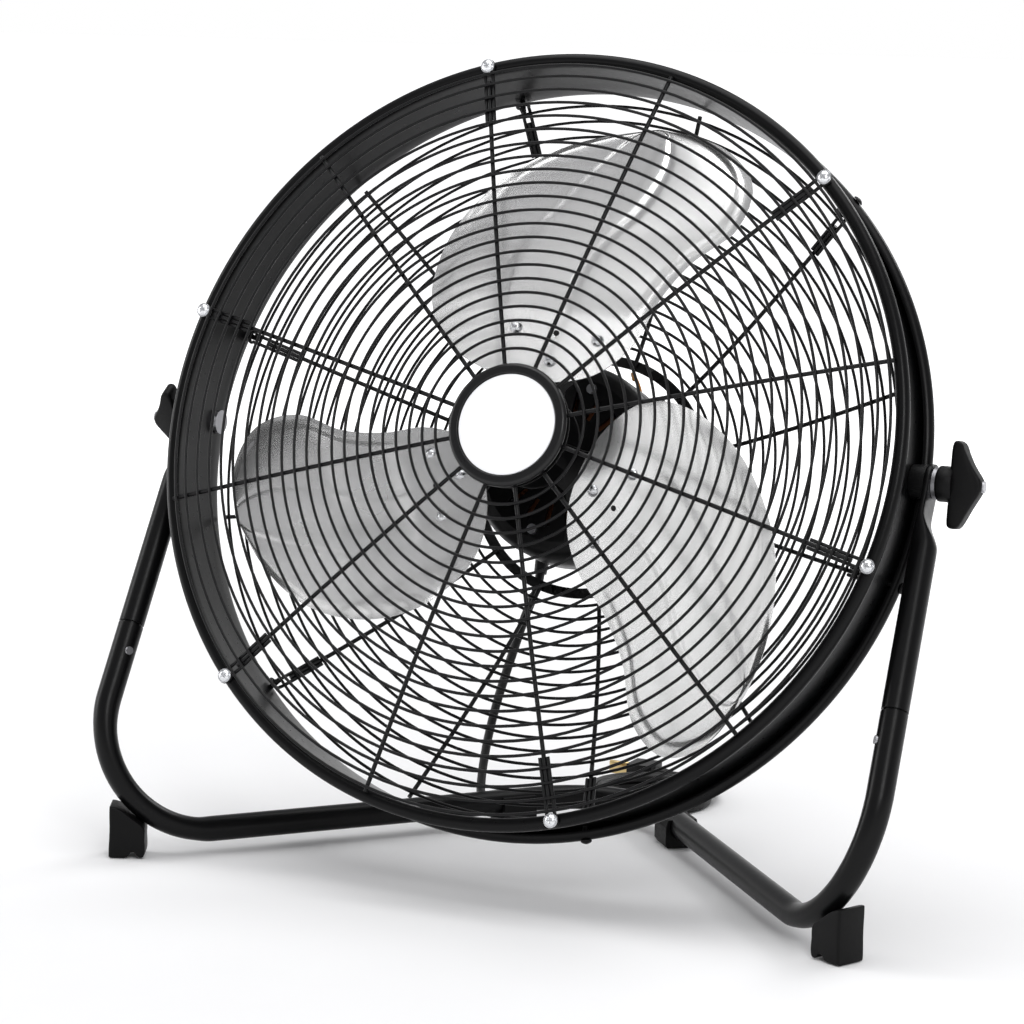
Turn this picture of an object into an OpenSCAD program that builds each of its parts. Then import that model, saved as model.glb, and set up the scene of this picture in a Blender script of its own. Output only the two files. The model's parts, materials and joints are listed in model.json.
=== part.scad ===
// Drum floor fan. A sheet steel drum with wire guards hangs on two clamp knobs
// between the raked legs of a tube stand, whose base is one bent tube.
// Left and right are as seen from the front; the fan blows towards -Y.

/* [Stand] */
// Height of the tilt pivot above the floor
pivot_height = 310; // [300:1:330]
// Outside diameter of the stand tube
tube_d = 19; // [18:0.5:19.5]
// Wall thickness of the stand tube
tube_wall = 1.2; // [0.8:0.1:1.5]
// Height of the centreline of the floor bars
bar_height = 16.6; // [16:0.1:20]
// Bend radius of the tube at the front corners
corner_bend = 75; // [65:1:80]
// Bend radius of the tube at the rear of the base
rear_bend = 68; // [60:1:75]
// Thickness of the flattened tops of the legs
plate_t = 4.4; // [3:0.1:5]

/* [Drum] */
// Tilt of the head above straight ahead, in degrees
head_tilt = 19.6; // [0:0.1:40]
// Inside radius of the drum
drum_r = 274.6; // [274:0.1:276]
// Sheet thickness of the drum
drum_t = 1; // [0.8:0.1:1.4]
// Radius of the front bead
front_bead_r = 5; // [4.4:0.1:5.2]
// Radius of the rear bead
rear_bead_r = 5.4; // [5:0.1:6.2]
// Axial place of the front bead
front_bead_z = 49.4; // [48:0.1:52]
// Axial place of the rear bead
rear_bead_z = -10.6; // [-12:0.1:-9]
// Radius of the circle of the front screws
screw_circle = 280; // [279:0.1:281]

/* [Guards] */
// Number of front rings
front_rings = 22; // [16:1:24]
// Distance between rings
ring_pitch = 10.4; // [10:0.1:10.5]
// Diameter of the ring wire
ring_wire = 2.3; // [1.8:0.1:2.6]
// Diameter of the radial wires
spoke_wire = 3.2; // [2.8:0.1:3.6]
// Number of rear rings
rear_rings = 17; // [12:1:17]

/* [Blades] */
// Thickness of the blade sheet
blade_t = 1; // [0.8:0.1:1.2]
// Rise of the blade across its chord near the root
root_slope = 0.36; // [0.3:0.01:0.4]
// Loss of that rise for each millimetre outwards
slope_loss = 0.00085; // [0:0.00005:0.001]
// Depth of the crown of each blade
blade_crown = 5; // [0:0.5:6]

/* [Cord] */
// Diameter of the power cord
cord_d = 7; // [6:0.5:8]

/* [Hidden] */
$fn = 64;

black = "#161616";
steel = "#c9c9c6";
shift_y = -7.795;         // puts the origin under the middle of the fan
tube_r = tube_d / 2;
bore_r = tube_r - tube_wall;
bolt_r = 4;
bolt_fit = 0.08;
knob_rake = 8;

// ---- vectors and curves ----
function unit(v) = v / norm(v);
function cubic(a, b, c, d, t) =
    0.5 * (2 * b + (c - a) * t + (2 * a - 5 * b + 4 * c - d) * t * t
        + (3 * b - 3 * c + d - a) * t * t * t);
function smooth_open(pts, n) = let (m = len(pts)) concat(
    [for (i = [0 : m - 2]) for (j = [0 : n - 1])
        cubic(pts[max(i - 1, 0)], pts[i], pts[i + 1], pts[min(i + 2, m - 1)], j / n)],
    [pts[m - 1]]);
function smooth_loop(pts, n) = let (m = len(pts))
    [for (i = [0 : m - 1]) for (j = [0 : n - 1])
        cubic(pts[(i + m - 1) % m], pts[i], pts[(i + 1) % m], pts[(i + 2) % m], j / n)];
function heading(p, i) = unit(p[min(i + 1, len(p) - 1)] - p[max(i - 1, 0)]);
function side(t, up) = unit(cross(up, t));
function section(p, t, up, r, sides) = let (a = side(t, up), b = cross(t, a))
    [for (k = [0 : sides - 1]) p + r * (cos(360 * k / sides) * a + sin(360 * k / sides) * b)];
function wrap(i, j, n, m) = let (a = i * n + j, b = i * n + (j + 1) % n)
    [[a, b, b + n], [a, b + n, a + n]];

// A solid rod of radius r along the points p; up is never parallel to the path.
module rod(p, r, sides, up) {
    m = len(p);
    pts = [for (i = [0 : m - 1]) each section(p[i], heading(p, i), up, r, sides)];
    walls = [for (i = [0 : m - 2]) for (j = [0 : sides - 1]) each wrap(i, j, sides, m)];
    start = [for (j = [1 : sides - 2]) [0, j + 1, j]];
    last = (m - 1) * sides;
    finish = [for (j = [1 : sides - 2]) [last, last + j, last + j + 1]];
    polyhedron(pts, [for (f = concat(walls, start, finish)) [f[2], f[1], f[0]]]);
}

// A tube wall between radii r and s along the points p.
module pipe(p, r, s, sides, up) {
    m = len(p);
    outer = [for (i = [0 : m - 1]) each section(p[i], heading(p, i), up, r, sides)];
    inner = [for (i = [0 : m - 1]) each section(p[i], heading(p, i), up, s, sides)];
    q = m * sides;
    skin = [for (i = [0 : m - 2]) for (j = [0 : sides - 1]) each wrap(i, j, sides, m)];
    lining = [for (f = skin) [f[2] + q, f[1] + q, f[0] + q]];
    last = (m - 1) * sides;
    rims = [for (j = [0 : sides - 1]) let (k = (j + 1) % sides) each
        [[j, q + j, q + k], [j, q + k, k],
         [last + j, last + k, q + last + k], [last + j, q + last + k, q + last + j]]];
    polyhedron(concat(outer, inner),
        [for (f = concat(skin, lining, rims)) [f[2], f[1], f[0]]]);
}

// Places children with local axes x, y, z (unit vectors at right angles) at o.
module at_frame(o, x, y, z) {
    multmatrix([[x[0], y[0], z[0], o[0]], [x[1], y[1], z[1], o[1]],
        [x[2], y[2], z[2], o[2]], [0, 0, 0, 1]]) children();
}

// ---- stand geometry, right side; the left side mirrors it ----
function leg_point(z) = [292.94 + 0.026 * (pivot_height - z),
    shift_y - 3.84 - 0.5689 * (pivot_height - z), z];
leg_down = unit(leg_point(0) - leg_point(100));
bar_dir = [-0.6367, 0.7711, 0];
corner = leg_point(bar_height);
turn = acos(leg_down * bar_dir);
tangent_length = corner_bend * tan(turn / 2);
bend_start = corner - tangent_length * leg_down;
inward = unit(bar_dir - (bar_dir * leg_down) * leg_down);
bend_centre = bend_start + corner_bend * inward;
bend_end = corner + tangent_length * bar_dir;
bend_axis = cross(leg_down, inward);
function bend_point(a) = bend_centre + corner_bend * (sin(a) * leg_down - cos(a) * inward);
half_vee = acos(bar_dir[1]);
rear_x = rear_bend * cos(half_vee);
rear_y = corner[1] + (corner[0] - rear_x) * bar_dir[1] / -bar_dir[0];
rear_centre_y = rear_y - rear_bend * sin(half_vee);
seam_z = 165;
groove = 0.6;
seam_low = leg_point(seam_z - groove);
function flip(p) = [-p[0], p[1], p[2]];
right_half = concat(
    [for (i = [0 : 3]) seam_low + (bend_start - seam_low) * i / 4],
    [for (i = [0 : 12]) bend_point(turn * i / 12)],
    [for (i = [1 : 3]) bend_end + ([rear_x, rear_y, bar_height] - bend_end) * i / 4],
    [for (i = [0 : 5]) let (a = half_vee + (90 - half_vee) * i / 6)
        [rear_bend * cos(a), rear_centre_y + rear_bend * sin(a), bar_height]]);
base_route = concat(right_half, [[0, rear_centre_y + rear_bend, bar_height]],
    [for (i = [len(right_half) - 1 : -1 : 0]) flip(right_half[i])]);
route_up = [0, 0.6, -0.8];

module base_tube() {
    color(black) difference() {
        pipe(base_route, tube_r, bore_r, 20, route_up);
        for (m = [0, 1]) mirror([m, 0, 0]) button_frame() cylinder(h = 30, r = 3.2);
    }
}

// The button looks inwards and forwards from the leg, at right angles to it.
module button_frame() {
    z = unit([-0.8, -0.6, 0] - ([-0.8, -0.6, 0] * leg_down) * leg_down);
    y = cross(z, leg_down);
    at_frame(leg_point(seam_z - 19), leg_down, y, z) children();
}

module snap_button() {
    color(steel) button_frame() {
        translate([0, 0, 4.2]) cylinder(h = tube_r - 3.2, r = 3);
        translate([0, 0, 3.2]) cylinder(h = 1.2, r = 4.4);
    }
}
module right_snap_button() snap_button();
module left_snap_button() mirror([1, 0, 0]) snap_button();

// Upper leg: straight tube, a pressed transition, a drilled flat end and a spigot.
leg_x = unit(cross([0, 1, 0], leg_down));
leg_y = cross(leg_down, leg_x);
plate_x = 287;
rake = atan(0.5689);
function squash_section(o, a, b, n) = [for (k = [0 : 23]) let (c = cos(15 * k), s = sin(15 * k))
    o + a * sign(c) * pow(abs(c), 2 / n) * [1, 0, 0]
      + b * sign(s) * pow(abs(s), 2 / n) * [0, cos(rake), -sin(rake)]];
module leg_transition() {
    steps = 7;
    top = [plate_x + plate_t / 2, shift_y - 0.4 - 24 * sin(rake), pivot_height - 24 * cos(rake)];
    low = leg_point(pivot_height - 54 * cos(rake));
    pts = [for (i = [0 : steps]) let (t = i / steps, e = t * t * (3 - 2 * t))
        each squash_section([for (k = [0 : 2]) low[k] + (top[k] - low[k]) * (k == 0 ? e : t)],
            (tube_r - 0.15) * (1 - e) + (plate_t / 2 - 0.15) * e,
            (tube_r - 0.15) * (1 - e) + 12.8 * e, 2 + 2 * e)];
    walls = [for (i = [0 : steps - 1]) for (j = [0 : 23]) each wrap(i, j, 24, steps + 1)];
    last = 24 * steps;
    caps = [for (j = [1 : 22]) each [[0, j + 1, j], [last, last + j, last + j + 1]]];
    polyhedron(pts, [for (f = concat(walls, caps)) [f[2], f[1], f[0]]]);
}
module leg_tube() {
    tube_top = pivot_height - 48 * cos(rake);
    top = leg_point(tube_top);
    run = norm(top - leg_point(seam_z));
    color(black) union() {
        difference() {
            at_frame(top, leg_x, leg_y, leg_down) difference() {
                union() {
                    cylinder(h = run, r = tube_r);
                    translate([0, 0, run - 6]) cylinder(h = 46, r = bore_r - 0.2);
                }
                translate([0, 0, 10]) cylinder(h = run + 50, r = bore_r - 1.4);
            }
            button_frame() cylinder(h = 30, r = 3.5);
        }
        leg_transition();
        difference() {
            translate([plate_x, shift_y, pivot_height]) rotate([0, 90, 0]) rotate([0, 0, -rake])
                linear_extrude(plate_t) union() {
                    circle(r = 13);
                    translate([0, -13]) square([30, 26]);
                }
            translate([plate_x - 1, shift_y, pivot_height]) rotate([0, 90, 0])
                cylinder(h = plate_t + 2, r = bolt_r + bolt_fit);
        }
    }
}
module right_leg_tube() leg_tube();
module left_leg_tube() mirror([1, 0, 0]) leg_tube();

// Clip-on feet. The front pair saddles the corner bends, the rear pair the bars.
foot_angle = turn / 2 + 1;
module front_foot() {
    p = bend_point(foot_angle);
    t = cos(foot_angle) * leg_down + sin(foot_angle) * inward;
    along = unit([t[0], t[1], 0]);
    color(black) difference() {
        at_frame([p[0], p[1], 0], along, cross([0, 0, 1], along), [0, 0, 1])
            translate([0, 12.5, 0]) rotate([90, 0, 0]) linear_extrude(25)
                polygon([[-14.5, 4], [-12, 0], [-1, 0], [1.5, 1], [3, 4], [6, 4.4], [8, 1.5],
                    [10, 0.4], [12.5, 0.8], [14.5, 5], [14, 24], [-12.5, 50], [-13.5, 30]]);
        at_frame(bend_centre, leg_down, -inward, -bend_axis)
            rotate_extrude($fn = 96) translate([corner_bend, 0]) circle(r = tube_r + 0.15);
    }
}
module foot_front_right() front_foot();
module foot_front_left() mirror([1, 0, 0]) front_foot();

module rear_foot() {
    x = 68;
    p = [x, corner[1] + (corner[0] - x) * bar_dir[1] / -bar_dir[0], bar_height];
    color(black) at_frame([p[0], p[1], 0], bar_dir, cross([0, 0, 1], bar_dir), [0, 0, 1])
        difference() {
            translate([-14, 0, 0]) rotate([90, 0, 90]) linear_extrude(28)
                polygon([[-11, 0], [11, 0], [13, 3], [13, 16], [11.5, 22], [8, 22], [-8, 22],
                    [-11.5, 22], [-13, 16], [-13, 3]]);
            translate([-20, 0, bar_height]) rotate([0, 90, 0]) cylinder(h = 40, r = tube_r + 0.15);
            translate([-20, -6.5, bar_height]) cube([40, 13, 20]);
        }
}
module foot_rear_right() rear_foot();
module foot_rear_left() mirror([1, 0, 0]) rear_foot();

// ---- head: local X to the right, Y up the drum, Z out of the front ----
module head() {
    translate([0, shift_y, pivot_height]) rotate([90 - head_tilt, 0, 0]) children();
}
module around(n, first) {
    for (k = [0 : n - 1]) rotate([0, 0, first + 360 * k / n]) children();
}
screw_first = 45;
spoke_first = 15;

module curl(r, side) {
    difference() {
        circle(r = r);
        circle(r = r - drum_t);
        polygon([[0, 0], [-9, -0.8 * side], [-9, -9 * side], [-2, -9 * side]]);
    }
}
front_bead_c = drum_r + front_bead_r;
rear_bead_c = drum_r + rear_bead_r;
module drum_shell() {
    color(black) head() difference() {
        rotate_extrude($fn = 180) {
            translate([drum_r, rear_bead_z]) square([drum_t, front_bead_z - rear_bead_z]);
            translate([front_bead_c, front_bead_z]) curl(front_bead_r, 1);
            translate([rear_bead_c, rear_bead_z]) curl(rear_bead_r, -1);
        }
        around(6, screw_first) translate([screw_circle, 0, front_bead_z + 2]) cylinder(h = 9, r = 2.2);
        around(6, screw_first) translate([drum_r - 4, 0, rear_bead_z]) rotate([0, 90, 0])
            cylinder(h = 20, r = 2.2);
        translate([-290, 0, 0]) rotate([0, 90, 0]) cylinder(h = 580, r = bolt_r + 0.3);
    }
}

// Front guard: rings on radial wires that rise towards the hub.
ring_first = 275;
edge_ring_shift = 1.6;
wire_gap = 0.05;
function dome(r) = let (t = (ring_first - r) / 230) 58.35 + 17.1 * t + 12 * t * (1 - t);
spoke_drop = (ring_wire + spoke_wire) / 2 + wire_gap;
module front_guard_rings() {
    color(black) head() for (i = [0 : front_rings - 1])
        let (r = ring_first - (i == 0 ? edge_ring_shift : ring_pitch * i))
            translate([0, 0, dome(r)]) rotate_extrude($fn = 96) translate([r, 0]) circle(d = ring_wire);
}
spoke_in = 40;
spoke_out = 277;
spoke_end = 268;
loop_in = 236;
loop_r = 4.3;
loop_wire = 2.6;
beside = (spoke_wire + loop_wire) / 2 + wire_gap;
loop_z = front_bead_z + front_bead_r + loop_wire / 2 + 0.1;
function dome_wire(from, to, n) = [for (i = [0 : n]) let (r = from + (to - from) * i / n)
    [r, 0, dome(r) - spoke_drop]];
// Height of the hairpin that leaves the dome and settles on the bead.
function hairpin_z(r) = let (t = max(0, (r - 250) / (screw_circle - 250)), e = t * t * (3 - 2 * t))
    (dome(r) - spoke_drop) * (1 - e) + loop_z * e;
hairpin_leg = [for (r = [loop_in, 246, 256, 265, 272]) [r, beside, hairpin_z(r)]];
hairpin_eye = [for (a = [140 : -35 : -140]) [screw_circle + loop_r * cos(a), loop_r * sin(a), loop_z]];
hairpin = concat(hairpin_leg, hairpin_eye,
    [for (i = [len(hairpin_leg) - 1 : -1 : 0]) mirror_y(hairpin_leg[i])]);
function mirror_y(p) = [p[0], -p[1], p[2]];
module front_guard_spokes() {
    color(black) head() {
        around(6, spoke_first) rod(dome_wire(spoke_in, spoke_out, 6), spoke_wire / 2, 8, [0, 0, 1]);
        around(6, screw_first) {
            rod(dome_wire(spoke_in, spoke_end, 6), spoke_wire / 2, 8, [0, 0, 1]);
            rod(hairpin, loop_wire / 2, 8, [0, 0, 1]);
        }
    }
}

// Hub of the front guard: a cap and a back plate hold the inner wire ends.
hub_r = 45;
badge_r = 36.7;
cap_back = 74.6;
module hub_cap() {
    color(black) head() difference() {
        rotate_extrude() {
            difference() {
                translate([0, cap_back]) square([hub_r, 6]);
                translate([0, 78.4]) square([badge_r + 0.3, 5]);
                translate([0, cap_back - 1]) square([hub_r - 3, 2]);
                translate([hub_r - 3, cap_back + 3]) difference() {
                    square([4, 4]);
                    circle(r = 3);
                }
            }
        }
        around(3, 30) translate([20, 0, cap_back - 1]) cylinder(h = 3.6, r = 1.6);
    }
}
module hub_badge() {
    color("white") head() translate([0, 0, 78.45]) {
        cylinder(h = 0.9, r = badge_r);
        translate([0, 0, 0.4]) cylinder(h = 0.9, r = badge_r - 1);
    }
}
module hub_back_plate() {
    color(black) head() translate([0, 0, 67.5]) difference() {
        union() {
            cylinder(h = 2.2, r = hub_r - 1.5);
            around(3, 30) translate([20, 0, 0]) cylinder(h = 8, r = 4);
        }
        around(3, 30) translate([20, 0, -1]) cylinder(h = 12, r = 1.7);
    }
}
module hub_plate_screws() {
    color(steel) head() around(3, 30) translate([20, 0, 65.4]) {
        cylinder(h = 11, r = 1.5);
        cylinder(h = 2, r = 3);
    }
}
module front_screws() {
    color(steel) head() around(6, screw_first) translate([screw_circle, 0, 46.5]) {
        cylinder(h = 12, r = 2);
        translate([0, 0, 11.5]) difference() {
            intersection() {
                cylinder(h = 2.6, r = 4.2);
                translate([0, 0, -3.4]) sphere(r = 6);
            }
            for (a = [0, 90]) rotate([0, 0, a]) translate([-2.4, -0.5, 1.6]) cube([4.8, 1, 3]);
        }
    }
}
module front_washers() {
    color(steel) head() around(6, screw_first) translate([screw_circle, 0, 57.1]) difference() {
        cylinder(h = 0.85, r = 5.2);
        translate([0, 0, -1]) cylinder(h = 3, r = 2.25);
    }
}

// Rear guard: a dish of rings inside its radial wires, hooked to the drum wall.
dish_rim = 272.2;
rear_ring_first = 267;
rear_ring_pitch = 10.4;
rear_depth = 67.8;
rear_in = 89;
plate_z = -86.5;
function dish(r) = let (t = (dish_rim - r) / (dish_rim - rear_in))
    -15 - rear_depth * (1 - pow(max(0, 1 - t), 1.35));
module rear_guard_rings() {
    color(black) head() for (i = [0 : rear_rings - 1]) let (r = rear_ring_first - rear_ring_pitch * i)
        translate([0, 0, dish(r) + spoke_drop]) rotate_extrude($fn = 96)
            translate([r, 0]) circle(d = ring_wire);
}
rear_out = 271;
rear_hook_r = 271.6;
function dish_wire(from, to, n) = [for (i = [0 : n]) let (r = from + (to - from) * i / n)
    [r, 0, dish(r)]];
// Eyes stand against the drum wall, round the rear screws.
eye_leg = [for (r = [238, 247, 256, 263]) [r, beside, dish(r)]];
eye_turn = [for (a = [130 : -32.5 : -130]) [rear_hook_r, loop_r * sin(a), rear_bead_z + loop_r * cos(a)]];
eye_wire = concat(eye_leg, [[269, beside, -16.6]], eye_turn, [[269, -beside, -16.6]],
    [for (i = [len(eye_leg) - 1 : -1 : 0]) mirror_y(eye_leg[i])]);
module rear_guard_spokes() {
    color(black) head() {
        around(6, spoke_first) rod(dish_wire(rear_in, rear_out, 8), spoke_wire / 2, 8, [0, 0, 1]);
        around(6, screw_first) {
            rod(dish_wire(rear_in, 262, 8), spoke_wire / 2, 8, [0, 0, 1]);
            rod(eye_wire, loop_wire / 2, 8, [0.3, 0, 1]);
        }
    }
}
module rear_motor_plate() {
    color(black) head() translate([0, 0, plate_z]) difference() {
        union() {
            difference() {
                cylinder(h = 2, r = 93.5, $fn = 128);
                translate([0, 0, -1]) cylinder(h = 4, r = 86, $fn = 128);
            }
            for (a = [0, 90]) rotate([0, 0, a + 20]) difference() {
                translate([-88, -8, 0]) cube([176, 16, 2]);
                translate([0, 0, -1]) cylinder(h = 4, r = 60);
            }
            difference() {
                cylinder(h = 2, r = 70);
                translate([0, 0, -1]) cylinder(h = 4, r = 50);
            }
        }
        around(4, 20) translate([62, 0, -1]) cylinder(h = 4, r = 2.3);
    }
}
module rear_screws() {
    color(black) head() around(6, screw_first) translate([266.4, 0, rear_bead_z]) rotate([0, 90, 0]) {
        cylinder(h = 20, r = 2);
        translate([0, 0, 19.2]) intersection() {
            cylinder(h = 2.6, r = 4);
            translate([0, 0, -3]) sphere(r = 5.5);
        }
    }
}

// ---- motor ----
bell_r = 74;
shaft_r = 4;
module motor_front_bell() {
    color(black) head() difference() {
        rotate_extrude($fn = 96) polygon([[8.05, -40], [12, -40], [12, -32.2], [61, -32.2],
            [68.6, -35], [bell_r - 2.5, -40], [bell_r - 2.5, -60], [bell_r, -60], [bell_r, -39],
            [70, -32.5], [62, -29.5], [14, -29.5], [13, -26], [8.05, -26]]);
        around(18, 5) translate([34, -2.2, -34]) cube([17, 4.4, 8]);
        around(4, 75) translate([56, 0, -36]) cylinder(h = 10, r = 2.4);
    }
}
module motor_rear_bell() {
    color(black) head() difference() {
        rotate_extrude($fn = 96) polygon([[8.05, -72], [12, -72], [12, -81.6], [58, -81.6],
            [66, -78], [bell_r - 2.5, -72], [bell_r - 2.5, -60.4], [bell_r, -60.4], [bell_r, -73],
            [68, -81], [60, -84.3], [4.6, -84.3], [4.6, -82.4], [8.05, -82.4]]);
        around(18, 5) translate([34, -2.2, -87]) cube([17, 4.4, 8]);
        around(4, 75) translate([56, 0, -88]) cylinder(h = 12, r = 2.4);
        around(4, 20) translate([62, 0, -88]) cylinder(h = 12, r = 2.1);
    }
}
module motor_screws() {
    color(steel) head() {
        around(4, 75) {
            translate([56, 0, -82.6]) cylinder(h = 54.2, r = 2);
            translate([56, 0, -29.4]) cylinder(h = 2.2, r = 3.8);
        }
        around(4, 20) {
            translate([62, 0, -88.6]) cylinder(h = 9, r = 2);
            translate([62, 0, -88.7]) cylinder(h = 2.1, r = 3.8);
        }
    }
}
module stator_core() {
    color(steel) head() translate([0, 0, -70]) difference() {
        cylinder(h = 26, r = 53, $fn = 96);
        translate([0, 0, -1]) cylinder(h = 28, r = 28.5, $fn = 96);
        around(12, 15) translate([32, -3, -1]) cube([13, 6, 28]);
    }
}
module stator_winding() {
    color("#8a4b22") head() for (z = [-40.4, -73.6]) translate([0, 0, z])
        rotate_extrude() difference() {
            translate([40, 0]) circle(r = 8);
            for (m = [-1, 1]) translate([40, m * 8]) square([30, 9], center = true);
        }
}
module front_bush() bush(-38);
module rear_bush() bush(-80.6);
module bush(z) {
    color("#b08d57") head() translate([0, 0, z]) difference() {
        cylinder(h = 8, r = 8);
        translate([0, 0, -1]) cylinder(h = 10, r = shaft_r + 0.05);
    }
}
module motor_shaft() {
    color(steel) head() translate([0, 0, -82.1]) cylinder(h = 118, r = shaft_r);
}
module rotor_core() {
    color(steel) head() translate([0, 0, -70]) difference() {
        cylinder(h = 26, r = 28, $fn = 96);
        translate([0, 0, -1]) cylinder(h = 28, r = shaft_r + 0.02);
    }
}
module motor_lead_orange() {
    color("#d9822b") head() rod(smooth_open([[33, 45, -90], [31, 54, -92], [28, 66, -92.5],
        [24, 76, -90], [22, 79.6, -84], [25, 78.6, -78], [29, 73.2, -71]], 3), 1.5, 8, [1, 0, 0.2]);
}
module motor_lead_black() {
    color(black) head() rod(smooth_open([[38, 44, -90], [41, 51, -91.5], [46, 59, -91],
        [49, 61.8, -86.5], [49.6, 62, -80], [49.6, 59.5, -74], [50.4, 57, -69]], 3), 1.3, 8, [1, 0.3, 0.2]);
}

// ---- switch box behind the motor ----
box_x = 44;
box_y = 42;
box_front = -88.8;
box_back = -124;
wall = 2;
module switch_box() {
    color(black) head() difference() {
        translate([-box_x, -box_y - 6, box_back]) box_block(2 * box_x, 2 * box_y, box_front - box_back);
        translate([-box_x + wall, -box_y - 6 + wall, box_back - 1])
            cube([2 * box_x - 2 * wall, 2 * box_y - 2 * wall, box_front - box_back + 1 - wall]);
        translate([0, 0, box_front - 4]) cylinder(h = 6, r = 10);
        translate([-48 + 12, -box_y - 7, -107]) rotate([-90, 0, 0]) cylinder(h = 5, r = 5.2);
        translate([33, 36.5, -90]) sphere(r = 2.6);
    }
    color(black) head() for (sx = [-1, 1]) for (sy = [-1, 1])
        translate([sx * (box_x - 5), sy * (box_y - 5) - 6, box_back + 3]) difference() {
            cylinder(h = box_front - box_back - 4, r = 3.4);
            translate([0, 0, -1]) cylinder(h = 14, r = 1.6);
        }
}
module box_block(w, d, h) {
    linear_extrude(h) union() {
        translate([4, 0]) square([w - 8, d]);
        translate([0, 4]) square([w, d - 8]);
        for (x = [4, w - 4]) for (y = [4, d - 4]) translate([x, y]) circle(r = 4);
    }
}
cover_t = 2.4;
knob_y = 4;
module switch_box_cover() {
    color(black) head() difference() {
        translate([-box_x, -box_y - 6, box_back - cover_t - 0.05])
            box_block(2 * box_x, 2 * box_y, cover_t);
        translate([0, knob_y, box_back - 6]) cylinder(h = 8, r = 4.5);
        for (sx = [-1, 1]) for (sy = [-1, 1])
            translate([sx * (box_x - 5), sy * (box_y - 5) - 6, box_back - 6]) cylinder(h = 8, r = 1.9);
    }
}
module cover_screws() {
    color(steel) head() for (sx = [-1, 1]) for (sy = [-1, 1])
        translate([sx * (box_x - 5), sy * (box_y - 5) - 6, box_back - cover_t - 2]) {
            cylinder(h = 14, r = 1.5);
            difference() {
                cylinder(h = 1.9, r = 3.2);
                for (a = [0, 90]) rotate([0, 0, a]) translate([-2, -0.4, -0.1]) cube([4, 0.8, 0.9]);
            }
        }
}
module rotary_switch() {
    color(black) head() translate([0, knob_y, 0]) {
        translate([-12, -12, box_back + 0.3]) cube([24, 24, 18]);
        translate([0, 0, box_back - 1]) cylinder(h = 4, r = 4.2);
    }
}
module run_capacitor() {
    color("#d8d8d8") head() translate([-34, -36, -112]) cube([36, 18, 20]);
}
module speed_knob() {
    color(black) head() translate([0, knob_y, box_back - cover_t - 0.5]) mirror([0, 0, 1]) difference() {
        union() {
            cylinder(h = 3, r = 16);
            cylinder(h = 14, r = 13);
            translate([-3.2, -15, 0]) cube([6.4, 30, 16]);
        }
        translate([0, 0, -1]) cylinder(h = 3, r = 4.6);
        translate([-0.6, 8, 15.2]) cube([1.2, 6, 2]);
    }
}

// ---- pivots ----
module pivot_bolt() {
    color(steel) translate([0, shift_y, pivot_height]) rotate([0, 90, 0]) {
        translate([0, 0, drum_r - 4.2]) intersection() {
            cylinder(h = 3.8, r = 9);
            translate([0, 0, 12]) sphere(r = 15);
        }
        translate([0, 0, drum_r - 2]) cylinder(h = 327.3 - drum_r + 2, r = bolt_r);
    }
}
module right_pivot_bolt() pivot_bolt();
module left_pivot_bolt() mirror([1, 0, 0]) pivot_bolt();
// The spacer's rear side is cut flat, clear of the rolled bead.
module spacer() {
    inner_x = drum_r + drum_t + 0.35;
    bead_x = rear_bead_c + rear_bead_r + 0.3;
    bead_front = rear_bead_z + rear_bead_r + 0.3;
    color(black) head() difference() {
        translate([inner_x, 0, 0]) rotate([0, 90, 0]) cylinder(h = plate_x - 0.3 - inner_x, r = 12);
        translate([drum_r, 0, 0]) rotate([0, 90, 0]) cylinder(h = 20, r = bolt_r + 0.3);
        translate([drum_r, -20, bead_front - 20]) cube([bead_x - drum_r, 40, 20]);
    }
}
module right_spacer() spacer();
module left_spacer() mirror([1, 0, 0]) spacer();
// A plain washer between the leg and the knob.
washer_x = plate_x + plate_t + 0.3;
washer_t = 2.6;
module pivot_washer() {
    color(steel) head() translate([washer_x, 0, 0]) rotate([0, 90, 0]) difference() {
        cylinder(h = washer_t, r = 11);
        translate([0, 0, -1]) cylinder(h = washer_t + 2, r = bolt_r + 0.3);
    }
}
module right_pivot_washer() pivot_washer();
module left_pivot_washer() mirror([1, 0, 0]) pivot_washer();
knob_face = washer_x + washer_t + 0.3;
knob_stem_end = 305.7;
module clamp_knob(lean) {
    color(black) translate([0, shift_y, pivot_height]) rotate([lean, 0, 0]) difference() {
        union() {
            translate([knob_face, 0, 0]) rotate([0, 90, 0])
                cylinder(h = knob_stem_end - knob_face, r = 12.5);
            translate([0, 7, 0]) rotate([90, 0, 0]) linear_extrude(14)
                polygon([[303, -28], [305, -30.5], [309, -31], [313, -29], [326, -4], [326.6, 0],
                    [326, 4], [319, 14], [314, 24], [311, 30], [307, 31], [303, 28]]);
        }
        translate([280, 0, 0]) rotate([0, 90, 0]) cylinder(h = 60, r = bolt_r + bolt_fit);
    }
}
module right_clamp_knob() clamp_knob(-knob_rake);
module left_clamp_knob() mirror([1, 0, 0]) clamp_knob(35);

// ---- fan ----
blade_first = 92;
blade_z = 27.6;
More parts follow.
